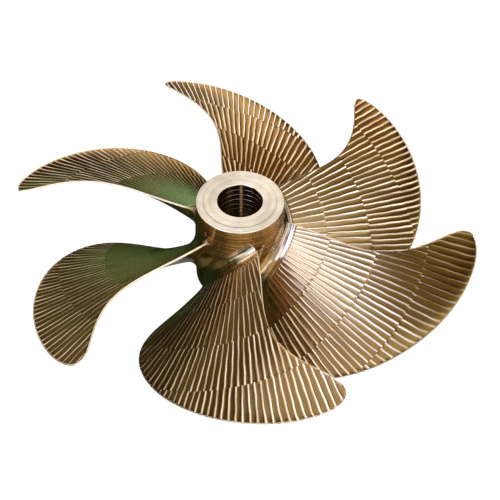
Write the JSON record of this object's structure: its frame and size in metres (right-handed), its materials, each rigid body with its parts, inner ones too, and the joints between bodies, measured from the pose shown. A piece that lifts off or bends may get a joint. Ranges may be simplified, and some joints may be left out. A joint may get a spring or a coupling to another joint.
{
  "type": "ship propeller",
  "caption": "Highly skewed fixed-pitch ship propeller with milled bronze blades round a turned hub with a tapered shaft bore.",
  "frame": {"origin": "centre of the hub's forward face, on the shaft axis", "axes": "+Z along the shaft axis towards aft; +X along blade 1's generator line"},
  "size_m": [2.2984, 2.494, 0.558],
  "materials": {
    "turned_bronze": "turned nickel aluminium bronze, pale and satin, with fine rings",
    "milled_bronze": "bright nickel aluminium bronze with shallow grooves of a ball-nosed cutter"
  },
  "bodies": {
    "root": {"hub": "turned_bronze", "blade_1": "milled_bronze", "blade_2": "milled_bronze", "blade_3": "milled_bronze", "blade_4": "milled_bronze", "blade_5": "milled_bronze", "blade_6": "milled_bronze"}
  },
  "joints": []
}
